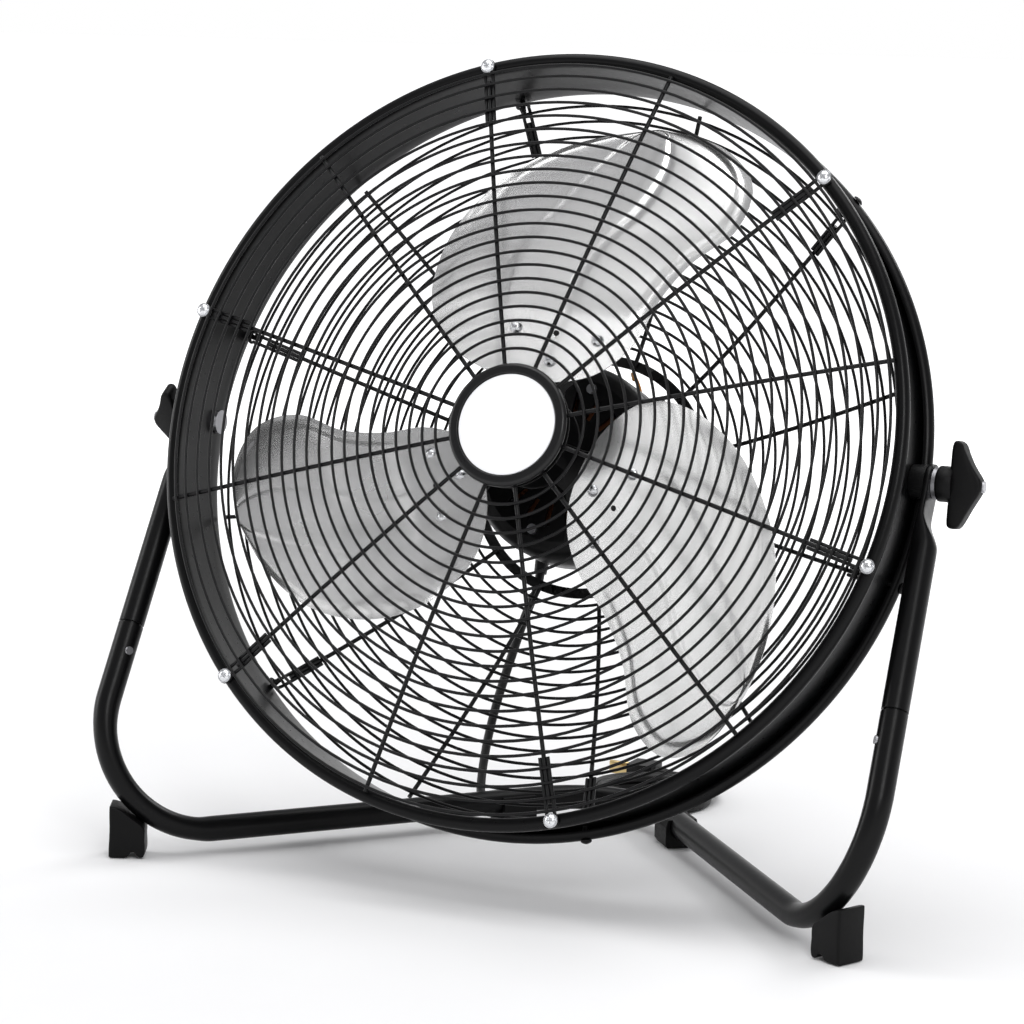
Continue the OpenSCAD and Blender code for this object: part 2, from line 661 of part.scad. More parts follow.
// Blade outline from the root round the front edge to the tip and back:
// distance along the blade, distance across it.
blade_outline = [[44, 0], [48, 38], [68, 70], [104, 83], [145, 77], [182, 56], [210, 26],
    [230, -16], [238, -62], [231, -104], [206, -129], [172, -122], [143, -92], [112, -72],
    [78, -58], [53, -34]];
outline = smooth_loop(blade_outline, 3);
half = len(outline) / 2;
across = 6;
function blade_height(l, s, m) = blade_z + s * (root_slope - slope_loss * max(0, l - 105))
    + blade_crown * min(1, max(0, (l - 100) / 60)) * (1 - m * m);
function blade_node(i, j, lift) =
    let (a = outline[i], b = outline[(2 * half - i) % (2 * half)], m = j / across,
         p = a + (b - a) * m)
    [p[0], p[1], blade_height(p[0], p[1], 2 * m - 1) + lift];
module blade_sheet() {
    rows = half - 1;
    n = across + 1;
    grid = [for (lift = [-0.53 * blade_t, 0.53 * blade_t]) for (i = [1 : rows])
        for (j = [0 : across]) blade_node(i, j, lift)];
    q = rows * n;
    ends = [for (lift = [-0.53 * blade_t, 0.53 * blade_t]) for (i = [0, half]) blade_node(i, 0, lift)];
    root = 2 * q;
    tip = 2 * q + 1;
    low = [for (i = [0 : rows - 2]) for (j = [0 : across - 1]) let (a = i * n + j) each
        [[a, a + 1, a + n + 1], [a, a + n + 1, a + n]]];
    high = [for (f = low) [f[2] + q, f[1] + q, f[0] + q]];
    fans = [for (j = [0 : across - 1]) let (a = (rows - 1) * n + j) each
        [[root, j + 1, j], [root + 2, q + j, q + j + 1],
         [tip, a, a + 1], [tip + 2, q + a + 1, q + a]]];
    rim = [for (i = [0 : rows - 2]) let (a = i * n, b = i * n + across) each
        [[a, a + n, q + a + n], [a, q + a + n, q + a],
         [b + n, b, q + b], [b + n, q + b, q + b + n]]];
    a = (rows - 1) * n;
    b = (rows - 1) * n + across;
    corners = [[root, 0, q], [root, q, root + 2], [across, root, root + 2],
        [across, root + 2, q + across],
        [a, tip, tip + 2], [a, tip + 2, q + a], [tip, b, q + b], [tip, q + b, tip + 2]];
    polyhedron(concat(grid, ends), concat(low, high, fans, rim, corners));
}
rivets = [[82, 22], [79, -34], [60, -4]];
module on_root() {
    translate([0, 0, blade_z]) rotate([atan(root_slope), 0, 0]) children();
}
module at_rivets() {
    on_root() for (p = rivets) translate([p[0], p[1] / cos(atan(root_slope)), 0]) children();
}
module blade(k) {
    color("#d4d4d2") head() rotate([0, 0, blade_first + 120 * k]) difference() {
        blade_sheet();
        at_rivets() translate([0, 0, -4]) cylinder(h = 8, r = 2.7);
        on_root() translate([81, -6, -4]) cylinder(h = 8, r = 2.2);
    }
}
module blade_1() blade(0);
module blade_2() blade(1);
module blade_3() blade(2);
pad_t = 2.4;
module blade_spider() {
    color(black) head() difference() {
        union() {
            translate([0, 0, 4]) cylinder(h = 22, r = 14);
            translate([0, 0, 22]) cylinder(h = 3.4, r = 34);
            around(3, blade_first) on_root() translate([0, 0, -0.65 - pad_t]) linear_extrude(pad_t)
                polygon([[22, -16], [40, -18], [66, -45], [90, -46], [97, -36], [97, 20],
                    [90, 31], [64, 31], [40, 16], [22, 12]]);
        }
        translate([0, 0, -10]) cylinder(h = 60, r = shaft_r + 0.02);
        around(3, blade_first) at_rivets() translate([0, 0, -8]) cylinder(h = 12, r = 2.7);
        around(3, blade_first) on_root() translate([81, -6, -8]) cylinder(h = 12, r = 2.2);
        rotate([0, 0, 32]) translate([2, 0, 10]) rotate([0, 90, 0]) cylinder(h = 20, r = 2.55);
    }
}
module blade_rivets() {
    color(steel) head() around(3, blade_first) at_rivets() {
        translate([0, 0, -4.4]) cylinder(h = 5.2, r = 2.5);
        translate([0, 0, 0.6]) intersection() {
            cylinder(h = 3, r = 4.6);
            translate([0, 0, -3]) sphere(r = 5.5);
        }
        translate([0, 0, -5.2]) cylinder(h = 1.9, r = 4);
    }
}
module hub_set_screw() {
    color(steel) head() rotate([0, 0, 32]) translate([4.1, 0, 10]) rotate([0, 90, 0])
        cylinder(h = 10, r = 2.5);
}

// ---- cord ----
module strain_relief() {
    color(black) head() translate([-36, -box_y - 6, -107]) rotate([90, 0, 0]) difference() {
        union() {
            translate([0, 0, -1.4]) cylinder(h = 4.4, r = 5);
            translate([0, 0, 0.05]) cylinder(h = 4, r = 7.5);
            cylinder(h = 26, r1 = 6.4, r2 = 4.8);
        }
        translate([0, 0, 19.4]) cylinder(h = 10, r = cord_d / 2 + 0.3);
    }
}
// Route of the cord from the switch box down to the floor and back to its coil.
cord_route = [[-36, 70.1, 209.7], [-36, 68.2, 204.4], [-36.4, 66, 198], [-39, 64, 188],
    [-46, 64, 170], [-56, 70, 146], [-68, 80, 120], [-81, 93, 92], [-93, 107, 64], [-103, 121, 38],
    [-110, 133, 18], [-114, 143, 8], [-115, 154, 4.2], [-111, 165, 3.6], [-101, 173, 3.6],
    [-86, 178, 3.6], [-69, 180, 3.6], [-52, 179, 3.6], [-36, 176, 3.6], [-22, 173.4, 3.6]];
tail_route = [[45.3, 211.7, 10.5], [46.8, 221, 10.5], [47.5, 231, 10], [47, 243, 8.6], [44, 254, 7.4],
    [37, 266, 7], [27, 275, 7], [14, 281.5, 7], [2, 284, 7], [-9, 284.5, 7]];
coil_centre = [-2, 220];
module power_cord() {
    color(black) rod(smooth_open(cord_route, 2), cord_d / 2, 10, [0.8, -0.6, 0.1]);
}
module cord_coil() {
    color(black) translate([coil_centre[0], coil_centre[1], 0]) rotate_extrude()
        translate([30.5, 0]) square([21, 14]);
}
module cord_tail() {
    color(black) rod(smooth_open(tail_route, 2), cord_d / 2, 10, [0.1, 0.1, 1]);
}
module plug_body() {
    color(black) translate([-9.2, 284.5, 0]) rotate([0, 0, 180]) {
        translate([0, 0, 7]) rotate([0, 90, 0]) cylinder(h = 12, r1 = 4.6, r2 = 6.4);
        translate([11, -12, 0]) cube([22, 24, 15]);
    }
}
module plug_pins() {
    color(steel) translate([-42.3, 284.5, 0]) {
        for (y = [-7, 5.5]) translate([-17, y, 4.5]) cube([16.9, 1.5, 6.4]);
        translate([-19, 0, 11.6]) rotate([0, 90, 0]) cylinder(h = 18.9, r = 2.2);
    }
}

base_tube();
left_leg_tube();
right_leg_tube();
left_snap_button();
right_snap_button();
foot_front_left();
foot_front_right();
foot_rear_left();
foot_rear_right();
drum_shell();
front_guard_rings();
front_guard_spokes();
hub_cap();
hub_badge();
hub_back_plate();
hub_plate_screws();
front_screws();
front_washers();
rear_guard_rings();
rear_guard_spokes();
rear_motor_plate();
rear_screws();
motor_front_bell();
motor_rear_bell();
motor_screws();
stator_core();
stator_winding();
front_bush();
rear_bush();
motor_lead_orange();
motor_lead_black();
switch_box();
switch_box_cover();
cover_screws();
rotary_switch();
run_capacitor();
strain_relief();
left_pivot_bolt();
right_pivot_bolt();
left_spacer();
right_spacer();
left_pivot_washer();
right_pivot_washer();
motor_shaft();
rotor_core();
blade_spider();
blade_1();
blade_2();
blade_3();
blade_rivets();
hub_set_screw();
speed_knob();
left_clamp_knob();
right_clamp_knob();
power_cord();
cord_coil();
cord_tail();
plug_body();
plug_pins();
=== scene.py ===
# Drum floor fan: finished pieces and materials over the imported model.
import json
import math

import bmesh
import bpy
import numpy as np
from mathutils import Matrix, Vector


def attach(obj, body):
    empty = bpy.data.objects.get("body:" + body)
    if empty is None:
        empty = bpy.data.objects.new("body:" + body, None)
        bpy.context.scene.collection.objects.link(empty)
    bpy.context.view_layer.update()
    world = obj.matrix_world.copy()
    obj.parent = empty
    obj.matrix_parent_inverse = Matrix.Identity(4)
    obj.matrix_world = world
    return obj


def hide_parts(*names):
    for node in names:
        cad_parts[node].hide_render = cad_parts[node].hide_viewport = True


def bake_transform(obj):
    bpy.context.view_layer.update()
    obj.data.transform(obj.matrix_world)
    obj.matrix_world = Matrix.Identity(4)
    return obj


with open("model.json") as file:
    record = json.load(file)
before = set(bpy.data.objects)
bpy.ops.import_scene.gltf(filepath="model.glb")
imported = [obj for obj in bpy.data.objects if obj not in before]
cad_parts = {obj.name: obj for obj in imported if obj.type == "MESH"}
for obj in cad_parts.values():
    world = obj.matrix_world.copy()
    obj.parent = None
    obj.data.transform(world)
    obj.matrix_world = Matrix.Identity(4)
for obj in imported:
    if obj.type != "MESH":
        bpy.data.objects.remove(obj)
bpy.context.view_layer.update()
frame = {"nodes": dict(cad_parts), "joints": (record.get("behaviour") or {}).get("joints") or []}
NODES = frame["nodes"]
MM = 0.001
JOINTS = {j["name"]: j for j in frame["joints"]}
PIVOT = Vector(JOINTS["head_tilt"]["pos_m"])
AXIS_OUT = Vector(JOINTS["fan_spin"]["axis"]).normalized()
AXIS_SIDE = Vector((1.0, 0.0, 0.0))
AXIS_UP = AXIS_OUT.cross(AXIS_SIDE)
# Head coordinates: x to the right, y up the drum, z out of the front, millimetres.
HEAD = Matrix.Translation(PIVOT) @ Matrix(
    [[AXIS_SIDE[i], AXIS_UP[i], AXIS_OUT[i], 0] for i in range(3)] + [[0, 0, 0, 1]]
) @ Matrix.Scale(MM, 4)
# Floor coordinates: the row frame in millimetres.
FLOOR = Matrix.Scale(MM, 4)
PIVOT_Y = PIVOT.y / MM
PIVOT_Z = PIVOT.z / MM


# ---------------------------------------------------------------- curves
def smooth_open(points, n):
    """Catmull-Rom points along an open route, n steps a span."""
    p = [np.array(q, float) for q in points]
    out = []
    for i in range(len(p) - 1):
        a, b, c, d = p[max(i - 1, 0)], p[i], p[i + 1], p[min(i + 2, len(p) - 1)]
        for k in range(n):
            t = k / n
            out.append(0.5 * (2 * b + (c - a) * t + (2 * a - 5 * b + 4 * c - d) * t ** 2
                              + (3 * b - 3 * c + d - a) * t ** 3))
    out.append(p[-1])
    return out


def smooth_loop(points, n):
    """Catmull-Rom points round a closed outline."""
    p = [np.array(q, float) for q in points]
    m = len(p)
    out = []
    for i in range(m):
        a, b, c, d = p[i - 1], p[i], p[(i + 1) % m], p[(i + 2) % m]
        for k in range(n):
            t = k / n
            out.append(0.5 * (2 * b + (c - a) * t + (2 * a - 5 * b + 4 * c - d) * t ** 2
                              + (3 * b - 3 * c + d - a) * t ** 3))
    return out


def smoothstep(a, b, x):
    t = np.clip((x - a) / (b - a), 0.0, 1.0)
    return t * t * (3 - 2 * t)


def make(name, verts, faces, matrix, material, body, swaps=(), smooth=40):
    """A mesh piece that rides on a body and may stand for CAD nodes."""
    mesh = bpy.data.meshes.new(name)
    world = [tuple(matrix @ Vector(v)) for v in verts]
    mesh.from_pydata(world, [], [tuple(int(i) for i in f) for f in faces])
    mesh.validate()
    bm = bmesh.new()
    bm.from_mesh(mesh)
    bmesh.ops.recalc_face_normals(bm, faces=bm.faces)
    bm.to_mesh(mesh)
    bm.free()
    piece = bpy.data.objects.new(name, mesh)
    bpy.context.scene.collection.objects.link(piece)
    mesh.materials.append(material)
    mesh.shade_smooth()
    if smooth < 180:
        mesh.set_sharp_from_angle(angle=math.radians(smooth))
    if body:
        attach(piece, body)
    if swaps:
        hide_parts(*swaps)
    return piece


def join(parts):
    """Vertices and faces of several (verts, faces) pairs as one pair."""
    verts, faces = [], []
    for v, f in parts:
        base = len(verts)
        verts.extend(v)
        faces.extend([[i + base for i in face] for face in f])
    return verts, faces


def tube(points, radii, sides=12, up=(0, 0, 1), closed=False):
    """Swept tube; radii is one number, or (a, b) half axes for each point."""
    p = [np.array(q, float) for q in points]
    n = len(p)
    up = np.array(up, float)
    verts, faces = [], []
    for i in range(n):
        if closed:
            t = p[(i + 1) % n] - p[i - 1]
        else:
            t = p[min(i + 1, n - 1)] - p[max(i - 1, 0)]
        t = t / np.linalg.norm(t)
        a = np.cross(up, t)
        a = a / np.linalg.norm(a)
        b = np.cross(t, a)
        ra, rb = radii[i] if isinstance(radii, list) else (radii, radii)
        for k in range(sides):
            w = 2 * math.pi * k / sides
            verts.append(tuple(p[i] + ra * math.cos(w) * a + rb * math.sin(w) * b))
    for i in range(n if closed else n - 1):
        j = (i + 1) % n
        for k in range(sides):
            m = (k + 1) % sides
            faces.append([i * sides + k, i * sides + m, j * sides + m, j * sides + k])
    if not closed:
        faces.append(list(range(sides))[::-1])
        faces.append(list(range((n - 1) * sides, n * sides)))
    return verts, faces


def revolve(profile, steps=96):
    """Closed (r, z) profile turned about z."""
    verts, faces = [], []
    n = len(profile)
    for i in range(steps):
        c, s = math.cos(2 * math.pi * i / steps), math.sin(2 * math.pi * i / steps)
        verts.extend((r * c, r * s, z) for r, z in profile)
    for i in range(steps):
        j = (i + 1) % steps
        for k in range(n):
            m = (k + 1) % n
            faces.append([i * n + k, j * n + k, j * n + m, i * n + m])
    return verts, faces


def lathe(profile, steps=64):
    """Open (r, z) profile whose ends lie on the axis, turned about z."""
    verts, faces = [], []
    inner = profile[1:-1]
    n = len(inner)
    for i in range(steps):
        c, s = math.cos(2 * math.pi * i / steps), math.sin(2 * math.pi * i / steps)
        verts.extend((r * c, r * s, z) for r, z in inner)
    low, high = len(verts), len(verts) + 1
    verts.extend([(0, 0, profile[0][1]), (0, 0, profile[-1][1])])
    for i in range(steps):
        j = (i + 1) % steps
        faces.append([low, j * n, i * n])
        faces.append([high, i * n + n - 1, j * n + n - 1])
        for k in range(n - 1):
            faces.append([i * n + k, j * n + k, j * n + k + 1, i * n + k + 1])
    return verts, faces


def ring(radius, z, wire, steps=144, sides=8):
    pts = [(radius * math.cos(2 * math.pi * i / steps), radius * math.sin(2 * math.pi * i / steps), z)
           for i in range(steps)]
    return tube(pts, wire, sides, closed=True)


def turned(points, degrees):
    c, s = math.cos(math.radians(degrees)), math.sin(math.radians(degrees))
    return [(c * x - s * y, s * x + c * y, z) for x, y, z in points]


def placed(pair, matrix):
    return [tuple(matrix @ Vector(v)) for v in pair[0]], pair[1]


def arc(cx, cy, r, start, end, n):
    """Points (x, y) on an arc; angles in degrees."""
    return [(cx + r * math.cos(math.radians(start + (end - start) * i / n)),
             cy + r * math.sin(math.radians(start + (end - start) * i / n))) for i in range(n + 1)]


# ---------------------------------------------------------------- materials
def material(name, color, rough, metal=0.0, rough_span=0.06, noise=400.0, bump=0.05,
             bump_scale=None, coat=0.0, tint=None, specular=0.5, stretch=None):
    """Principled surface with colour mottle, uneven roughness and a fine bump."""
    mat = bpy.data.materials.new(name)
    mat.use_nodes = True
    tree = mat.node_tree
    shader = tree.nodes["Principled BSDF"]
    shader.inputs["Metallic"].default_value = metal
    shader.inputs["Coat Weight"].default_value = coat
    shader.inputs["Coat Roughness"].default_value = 0.12
    shader.inputs["Specular IOR Level"].default_value = specular
    place = tree.nodes.new("ShaderNodeTexCoord")
    mapping = tree.nodes.new("ShaderNodeMapping")
    tree.links.new(place.outputs["Object"], mapping.inputs["Vector"])
    if stretch:
        mapping.inputs["Scale"].default_value = stretch
    grain = tree.nodes.new("ShaderNodeTexNoise")
    grain.inputs["Scale"].default_value = noise
    grain.inputs["Detail"].default_value = 4.0
    tree.links.new(mapping.outputs["Vector"], grain.inputs["Vector"])
    mottle = tree.nodes.new("ShaderNodeTexNoise")
    mottle.inputs["Scale"].default_value = 9.0
    mottle.inputs["Detail"].default_value = 3.0
    tree.links.new(place.outputs["Object"], mottle.inputs["Vector"])
    ramp = tree.nodes.new("ShaderNodeValToRGB")
    low = tint or [c * 0.86 for c in color]
    ramp.color_ramp.elements[0].position = 0.3
    ramp.color_ramp.elements[1].position = 0.7
    ramp.color_ramp.elements[0].color = (*low, 1)
    ramp.color_ramp.elements[1].color = (*color, 1)
    tree.links.new(mottle.outputs["Fac"], ramp.inputs["Fac"])
    tree.links.new(ramp.outputs["Color"], shader.inputs["Base Color"])
    spread = tree.nodes.new("ShaderNodeMapRange")
    spread.inputs["From Min"].default_value = 0.3
    spread.inputs["From Max"].default_value = 0.7
    spread.inputs["To Min"].default_value = rough - rough_span / 2
    spread.inputs["To Max"].default_value = rough + rough_span / 2
    tree.links.new(grain.outputs["Fac"], spread.inputs["Value"])
    tree.links.new(spread.outputs["Result"], shader.inputs["Roughness"])
    fine = grain
    if bump_scale:
        fine = tree.nodes.new("ShaderNodeTexNoise")
        fine.inputs["Scale"].default_value = bump_scale
        fine.inputs["Detail"].default_value = 2.0
        tree.links.new(mapping.outputs["Vector"], fine.inputs["Vector"])
    height = tree.nodes.new("ShaderNodeBump")
    height.inputs["Strength"].default_value = bump
    height.inputs["Distance"].default_value = 0.0004
    tree.links.new(fine.outputs["Fac"], height.inputs["Height"])
    tree.links.new(height.outputs["Normal"], shader.inputs["Normal"])
    return mat


PAINT = material("gloss_black_powder", (0.003, 0.003, 0.0033), 0.32, bump=0.10, bump_scale=650,
                 noise=240, specular=0.17)
DRUM_PAINT = material("drum_black_powder", (0.003, 0.003, 0.0033), 0.3, bump=0.06, bump_scale=520,
                      noise=200, specular=0.16)
WIRE = material("wire_black_powder", (0.0035, 0.0035, 0.004), 0.34, bump=0.05, noise=500, specular=0.25)
PLASTIC = material("moulded_black_plastic", (0.003, 0.003, 0.0032), 0.46, rough_span=0.12, bump=0.16,
                   bump_scale=1500, specular=0.14)
CAP_PLASTIC = material("satin_black_cap", (0.004, 0.004, 0.0045), 0.3, bump=0.05, bump_scale=900,
                       specular=0.35)
BADGE = material("gloss_white_badge", (0.93, 0.935, 0.95), 0.22, tint=(0.91, 0.92, 0.94), bump=0.02, coat=0.4)
ALUMINIUM = material("rolled_aluminium", (0.88, 0.88, 0.875), 0.25, metal=0.82, rough_span=0.05,
                     tint=(0.85, 0.85, 0.845), noise=12, bump=0.004, bump_scale=20)
ZINC = material("bright_zinc_plate", (0.78, 0.79, 0.81), 0.26, metal=1.0, bump=0.06, noise=900)
BOLT = material("dull_zinc_plate", (0.42, 0.42, 0.44), 0.38, metal=1.0, bump=0.06, noise=900)
CORE = material("laminated_core_steel", (0.2, 0.2, 0.21), 0.5, metal=0.9, bump=0.3, noise=300)
COPPER = material("enamelled_winding", (0.2, 0.07, 0.03), 0.35, metal=0.6, bump=0.5, noise=350,
                  coat=0.3)
BRASS = material("brass_contact", (0.72, 0.55, 0.27), 0.3, metal=1.0, bump=0.05)
ORANGE = material("orange_lead_jacket", (0.62, 0.26, 0.03), 0.45, bump=0.1)
JACKET = material("rubber_cord_jacket", (0.007, 0.007, 0.007), 0.46, bump=0.18, bump_scale=900, specular=0.3)
CAPACITOR = material("capacitor_case", (0.62, 0.62, 0.6), 0.4, bump=0.05)
FLOOR_PAINT = material("pale_floor", (0.86, 0.86, 0.865), 0.75, tint=(0.85, 0.85, 0.855), noise=3,
                       bump=0.02, specular=0.15)


# ---------------------------------------------------------------- camera
AZIMUTH, ELEVATION, ROLL = 23.93, 8.71, 1.55
DISTANCE, SIDE_SHIFT, UP_SHIFT = 2.3646, -0.0247, -0.0457
FOCAL = 3255.9 / 1024 * 36


def make_camera():
    a, e, r = (math.radians(x) for x in (AZIMUTH, ELEVATION, ROLL))
    right = Vector((math.cos(a), math.sin(a), 0))
    ahead = Vector((-math.sin(a) * math.cos(e), math.cos(a) * math.cos(e), -math.sin(e)))
    up = right.cross(ahead)
    place = PIVOT - ahead * DISTANCE + right * SIDE_SHIFT + up * UP_SHIFT
    x = right * math.cos(r) + up * math.sin(r)
    y = up * math.cos(r) - right * math.sin(r)
    data = bpy.data.cameras.new("camera")
    data.lens = FOCAL
    data.sensor_width = 36
    data.clip_start, data.clip_end = 0.05, 60
    cam = bpy.data.objects.new("camera", data)
    cam.matrix_world = Matrix(
        [[x[i], y[i], -ahead[i], place[i]] for i in range(3)] + [[0, 0, 0, 1]])
    bpy.context.scene.collection.objects.link(cam)
    bpy.context.scene.camera = cam


make_camera()

# ---------------------------------------------------------------- cord
CORD_D = 7.0
# The same route as the CAD model's, in metres.
CORD_ROUTE = [
    (-0.036, 0.0701, 0.2097), (-0.036, 0.0682, 0.2044), (-0.0364, 0.066, 0.198), (-0.039, 0.064, 0.188),
    (-0.046, 0.064, 0.170), (-0.056, 0.070, 0.146), (-0.068, 0.080, 0.120), (-0.081, 0.093, 0.092),
    (-0.093, 0.107, 0.064), (-0.103, 0.121, 0.038), (-0.110, 0.133, 0.018), (-0.114, 0.143, 0.008),
    (-0.115, 0.154, 0.0042), (-0.111, 0.165, 0.0036), (-0.101, 0.173, 0.0036), (-0.086, 0.178, 0.0036),
    (-0.069, 0.180, 0.0036), (-0.052, 0.179, 0.0036), (-0.036, 0.176, 0.0036), (-0.022, 0.1734, 0.0036)]
TAIL_ROUTE = [
    (0.0453, 0.2117, 0.0105), (0.0468, 0.221, 0.0105), (0.0475, 0.231, 0.010), (0.047, 0.243, 0.0086),
    (0.044, 0.254, 0.0074), (0.037, 0.266, 0.007), (0.027, 0.275, 0.007), (0.014, 0.2815, 0.007),
    (0.002, 0.284, 0.007), (-0.009, 0.2845, 0.007)]
COIL_CENTRE = (-0.002, 0.220)
COIL_RADII = (0.048, 0.041, 0.034)
COIL_LAYERS = (0.0036, 0.0106)


def coil_points():
    """Three turns winding in on the floor, then out again on top of them."""
    enter = math.atan2(CORD_ROUTE[-1][1] - COIL_CENTRE[1], CORD_ROUTE[-1][0] - COIL_CENTRE[0])
    leave = math.atan2(TAIL_ROUTE[0][1] - COIL_CENTRE[1], TAIL_ROUTE[0][0] - COIL_CENTRE[0])
    turns = 5 + (leave - enter) / (2 * math.pi)
    slots = COIL_RADII + COIL_RADII[::-1]
    first = math.hypot(CORD_ROUTE[-1][0] - COIL_CENTRE[0], CORD_ROUTE[-1][1] - COIL_CENTRE[1])
    steps = 24
    count = int(turns * steps)
    out = []
    for i in range(1, count):
        u = i / steps
        k = min(int(u), 5)
        after = slots[min(k + 1, 5)]
        shift = float(smoothstep(0.72, 1.0, u - k))
        r = slots[k] + (after - slots[k]) * shift
        r += (first - slots[0]) * (1 - float(smoothstep(0.0, 0.12, u)))
        z = COIL_LAYERS[0] + (COIL_LAYERS[1] - COIL_LAYERS[0]) * float(smoothstep(2.7, 3.15, u))
        a = enter + 2 * math.pi * u
        out.append((COIL_CENTRE[0] + r * math.cos(a), COIL_CENTRE[1] + r * math.sin(a), z))
    return out


def make_cord():
    lead = smooth_open(CORD_ROUTE, 3)
    tail = smooth_open(TAIL_ROUTE, 3)
    points = [tuple(p) for p in lead] + coil_points() + [tuple(p) for p in tail]
    millimetres = [tuple(1000 * c for c in p) for p in points]
    piece = make("power_lead", *tube(millimetres, CORD_D / 2, 12, up=(0.31, 0.17, 0.93)), FLOOR, JACKET,
                 None, ["power_cord", "cord_coil", "cord_tail"], smooth=60)
    return piece, points


lead_piece, lead_points = make_cord()

# ---------------------------------------------------------------- stand
TUBE_R = 9.5
TUBE_WALL_SHARE = 0.87
BEND_FLATTENING = 0.9
BAR_Z = 16.6
LEG_LEAN = 0.5689
PLATE_MID = 289.2
PLATE_HALF_T = 2.2
PLATE_HALF_W = 13.0
CORNER_BEND = 75.0
REAR_BEND = 68.0
BAR_DIR = np.array([-0.6367, 0.7711, 0.0])
SEAM_Z = 165.0


def leg_point(z):
    return np.array([292.94 + 0.026 * (PIVOT_Z - z), PIVOT_Y - 3.84 - LEG_LEAN * (PIVOT_Z - z), z])


LEG_DOWN = leg_point(0) - leg_point(100)
LEG_DOWN = LEG_DOWN / np.linalg.norm(LEG_DOWN)
CORNER = leg_point(BAR_Z)
TURN = math.acos(float(LEG_DOWN @ BAR_DIR))
TANGENT = CORNER_BEND * math.tan(TURN / 2)
BEND_START = CORNER - TANGENT * LEG_DOWN
INWARD = BAR_DIR - (BAR_DIR @ LEG_DOWN) * LEG_DOWN
INWARD = INWARD / np.linalg.norm(INWARD)
BEND_CENTRE = BEND_START + CORNER_BEND * INWARD
BEND_END = CORNER + TANGENT * BAR_DIR


def bend_point(a):
    return BEND_CENTRE + CORNER_BEND * (math.sin(a) * LEG_DOWN - math.cos(a) * INWARD)


def base_pipe():
    """The bent base tube, a little flattened through its corners."""
    half_vee = math.acos(BAR_DIR[1])
    rear_x = REAR_BEND * math.cos(half_vee)
    rear_y = CORNER[1] + (CORNER[0] - rear_x) * BAR_DIR[1] / -BAR_DIR[0]
    rear_c = rear_y - REAR_BEND * math.sin(half_vee)
    top = leg_point(SEAM_Z - 0.8)
    pts, flat = [], []
    for i in range(7):
        pts.append(top + (BEND_START - top) * i / 7)
        flat.append(0.0)
    for i in range(41):
        pts.append(bend_point(TURN * i / 40))
        t = i / 40
        flat.append(float(smoothstep(0.0, 0.22, t) * (1 - smoothstep(0.9, 1.0, t))))
    rear = np.array([rear_x, rear_y, BAR_Z])
    for i in range(1, 10):
        pts.append(BEND_END + (rear - BEND_END) * i / 10)
        flat.append(0.0)
    for i in range(13):
        a = half_vee + (math.pi / 2 - half_vee) * i / 13
        pts.append(np.array([REAR_BEND * math.cos(a), rear_c + REAR_BEND * math.sin(a), BAR_Z]))
        flat.append(0.0)
    mirrored = [np.array([-p[0], p[1], p[2]]) for p in pts[::-1]]
    flats = flat + [0.0] + flat[::-1]
    pts = pts + [np.array([0, rear_c + REAR_BEND, BAR_Z])] + mirrored
    return pts, flats


def open_end(verts, faces, centre, inner, first, sides):
    """Closes an end with the tube's wall and a short bore."""
    rim = len(verts)
    for k in range(sides):
        v = np.array(verts[first + k])
        verts.append(tuple(centre + (v - centre) * TUBE_WALL_SHARE))
    for k in range(sides):
        m = (k + 1) % sides
        faces.append([first + k, first + m, rim + m, rim + k])
    bore = len(verts)
    for k in range(sides):
        verts.append(tuple(inner + np.array(verts[rim + k]) - centre))
    for k in range(sides):
        m = (k + 1) % sides
        faces.append([rim + k, rim + m, bore + m, bore + k])


def bent_tube(pts, flats, sides=28):
    """Sweeps the base tube with its flattening in each bend's own plane."""
    n = len(pts)
    up = np.array([0, 0.6, -0.8])
    verts, faces = [], []
    for i in range(n):
        t = pts[min(i + 1, n - 1)] - pts[max(i - 1, 0)]
        t = t / np.linalg.norm(t)
        a = np.cross(up, t)
        a = a / np.linalg.norm(a)
        b = np.cross(t, a)
        side = 1 if pts[i][0] > 0 else -1
        plane = np.array([INWARD[0] * side, INWARD[1], INWARD[2]])
        down = np.array([LEG_DOWN[0] * side, LEG_DOWN[1], LEG_DOWN[2]])
        normal = np.cross(plane, down)
        normal = normal / np.linalg.norm(normal)
        inward = np.cross(normal, t)
        for k in range(sides):
            w = 2 * math.pi * k / sides
            d = math.cos(w) * a + math.sin(w) * b
            r = TUBE_R - BEND_FLATTENING * flats[i] * float(d @ inward) ** 2
            verts.append(tuple(pts[i] + r * d))
    for i in range(n - 1):
        for k in range(sides):
            m = (k + 1) % sides
            faces.append([i * sides + k, i * sides + m, (i + 1) * sides + m, (i + 1) * sides + k])
    for end, step in ((0, 1), (n - 1, -1)):
        open_end(verts, faces, pts[end], pts[end + step * 2], end * sides, sides)
    return verts, faces


make("base_pipe", *bent_tube(*base_pipe()), FLOOR, PAINT, "stand", ["base_tube"], smooth=50)


